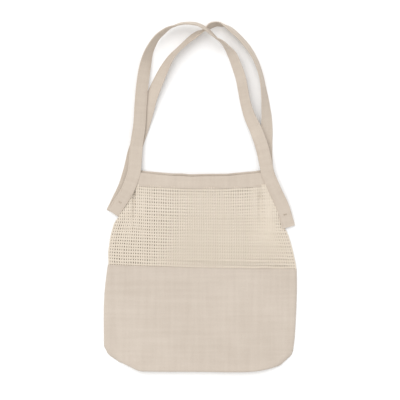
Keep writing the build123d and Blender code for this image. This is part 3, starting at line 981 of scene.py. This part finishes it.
def bar_tack(strap, run):
    """Rows of a dense tack across a strap, on both faces."""
    rows = []
    for k in range(TACK_ROWS):
        middle, along, across, face = strap.at(np.array([run + (k - TACK_ROWS // 2) * TACK_STEP]))
        for out in (1, -1):
            spots = np.array([[-TACK_SPOT], [TACK_SPOT]])
            centres = middle + across * spots + face * out * (STRAP_HALF + TACK_OUT)
            rows.append((centres, np.repeat(across, 2, axis=0), np.repeat(face * out, 2, axis=0)))
    return rows


def strap_pieces():
    """The back strap is one piece. The front one is in three: its two sewn ends and its loop."""
    above = np.flatnonzero(front_strap.middle[:, 1] > SPLIT_Y)
    first, last = above[0], above[-1] + 1
    left, loop = front_strap.part(0, first + 1), front_strap.part(first, last)
    right = front_strap.part(last - 1, len(front_strap.middle))
    back_nodes = ["strap_end_back_left", "strap_end_back_right", "handle_back"]
    # The strap, the nodes it replaces and those its thread replaces.
    parts = {
        "strap_front_left": (left, ["strap_end_front_left"], ["strap_end_stitching"]),
        "strap_front_loop": (loop, ["handle_front"], ["handle_stitching_front"]),
        "strap_front_right": (right, ["strap_end_front_right"], []),
        "strap_back": (back_strap, back_nodes, ["handle_stitching_back"]),
    }
    for name, (strap, nodes, thread_nodes) in parts.items():
        piece = strap_mesh(name, strap)
        thread = stitch_object(name + "_stitches", strap_rows(strap), body=None)
        for thing in (piece, thread):
            if name == "strap_front_loop":
                bend(thing)
            else:
                bend(thing)
        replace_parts(piece, *nodes)
        if thread_nodes:
            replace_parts(thread, *thread_nodes)


def bend(thing):
    """A piece's placement, baked into its mesh."""
    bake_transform(thing)


# ---- seams ----
SEAM_STITCH_X = (-178, 188)
THREAD_SINK = 0.05
BACK_THREAD_Z = 0.14  # the back seam's thread, between the canvas and the surface
INNER_CLOTH = 0.7  # thickness of the hems and seam strips
HEM_X = (-172, 180)
HEM_Y = (-10, -0.6)  # from the canvas's top edge
HEM_GRID = (90, 4)
HEM_Z = {"front": -2.0, "back": 1.0}  # from the panel it is folded from
SEAM_SECTION = [(1.0, 0.3), (4.0, 0.7), (7.5, 0.7), (11.2, 0.5)]  # inwards, upwards


def seam_rows():
    """The stitches below the canvas's top edge, front and back."""
    x = np.arange(*SEAM_STITCH_X, STITCH_STEP)
    y = line_y(NET_LINE, x) - SEAM_STITCH_IN
    along = np.broadcast_to([1.0, 0, 0], (len(x), 3))
    slope = (front_height(x + 1, y) - front_height(x - 1, y)) / 2
    leaning = unit(np.stack([np.ones(len(x)), np.zeros(len(x)), slope], axis=1))
    up = np.stack([-leaning[:, 2], np.zeros(len(x)), leaning[:, 0]], axis=1)
    front = [(np.stack([x, y, front_height(x, y) - THREAD_SINK], axis=1), leaning, up)]
    down = np.broadcast_to([0, 0, -1.0], (len(x), 3))
    back = [(np.stack([x, y, np.full(len(x), BACK_THREAD_Z)], axis=1), along, down)]
    return {"front": front, "back": back}


def inner_strips():
    """What is sewn inside: the folded hems of the canvas and the allowances of the side and bottom seams."""
    for side, height in (("front", front_height), ("back", back_height)):
        x, up = (np.linspace(*ends, count) for ends, count in zip((HEM_X, HEM_Y), HEM_GRID))
        x, up = np.meshgrid(x, up, indexing="ij")
        y = line_y(NET_LINE, x) + up
        grid = np.stack([x, y, height(x, y) + HEM_Z[side]], axis=-1)
        piece = cloth_sheet(f"hem_{side}", grid, grid[..., :2], CANVAS, thickness=INNER_CLOTH)
        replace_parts(piece, f"canvas_hem_{side}")
    strips = {
        "seam_left": ("side_seam_left", catmull(LEFT_SIDE + NET_LEFT[1:], OUTLINE_STEP)[:, :2]),
        "seam_right": ("side_seam_right", catmull(RIGHT_SIDE + NET_RIGHT[1:], OUTLINE_STEP)[::-1, :2]),
        "seam_bottom": ("bottom_seam", catmull(BOTTOM, OUTLINE_STEP)[::-1, :2]),
    }
    for name, (node, line) in strips.items():
        forward = unit(np.gradient(line, axis=0))
        inward = np.stack([forward[:, 1], -forward[:, 0]], axis=1)
        rows = [np.column_stack([line + inward * x, seam_height(*line.T) + z]) for x, z in SEAM_SECTION]
        grid = np.stack(rows, axis=1)
        uv = grid_map(np.arange(len(line)) * OUTLINE_STEP, [x for x, z in SEAM_SECTION])
        piece = cloth_sheet(name, grid, uv, CANVAS, thickness=INNER_CLOTH)
        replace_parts(piece, node)


# ---- the object ----
canvas_panels()
net_panel("front", front_net_height, front_strap, 0.0, 101)
net_panel("back", back_net_height, back_strap, 0.5, 202)
band("front", BAND_LINE, BAND_TOP)
band("back", BAND_LINE, BACK_BAND_TOP)
for side, rows in seam_rows().items():
    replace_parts(stitch_object(f"seam_stitches_{side}", rows), f"seam_stitching_{side}")
strap_pieces()
inner_strips()
tacks = []
for strap in (front_strap, back_strap):
    tacks += bar_tack(strap, TACK_UP) + bar_tack(strap, strap.run[-1] - TACK_UP)
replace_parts(stitch_object("bar_tack_thread", tacks, material=TACK), "bar_tacks")


# ---- floor, light and camera ----
FLOOR_REACH = 6.0
FLOOR_LOOK = {"Base Color": (0.94, 0.94, 0.94, 1), "Roughness": 0.95, "Specular IOR Level": 0.0}
WORLD_LIGHT = 0.90
KEY_LIGHT = 1.25
KEY_SPREAD = 50.0  # degrees across
KEY_FROM = (-0.33, 0.42, 1.0)
LENS = 135  # focal length and sensor width, in millimetres
SENSOR = 36
EYE = (0.0, -0.008, 3.0)


def floor():
    """White paper under the bag."""
    mesh = bpy.data.meshes.new("floor")
    r = FLOOR_REACH
    mesh.from_pydata([(-r, -r, 0), (r, -r, 0), (r, r, 0), (-r, r, 0)], [], [(0, 1, 2, 3)])
    paper = bpy.data.materials.new("floor_paper")
    paper.use_nodes = True
    for key, value in FLOOR_LOOK.items():
        paper.node_tree.nodes["Principled BSDF"].inputs[key].default_value = value
    mesh.materials.append(paper)
    put("floor", mesh)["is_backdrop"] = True


def lights():
    """Even light from all round and a wide soft one from the upper left."""
    world = bpy.data.worlds.new("studio")
    world.use_nodes = True
    world.node_tree.nodes["Background"].inputs["Color"].default_value = (1.0, 1.0, 1.0, 1)
    world.node_tree.nodes["Background"].inputs["Strength"].default_value = WORLD_LIGHT
    bpy.context.scene.world = world
    key = bpy.data.lights.new("key", "SUN")
    key.energy = KEY_LIGHT
    key.angle = math.radians(KEY_SPREAD)
    put("key", key).rotation_euler = Vector(KEY_FROM).to_track_quat("Z", "Y").to_euler()


def camera():
    """Straight down from above, as in the photo."""
    view = bpy.data.cameras.new("camera")
    view.lens = LENS
    view.sensor_width = SENSOR
    thing = put("camera", view)
    thing.location = EYE
    bpy.context.scene.camera = thing


floor()
lights()
camera()
bpy.context.scene.view_settings.view_transform = "Standard"

boxes = {"cad": CAD_BOX, "visual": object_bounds()}
{name: [list(corner) for corner in box] for name, box in boxes.items()}
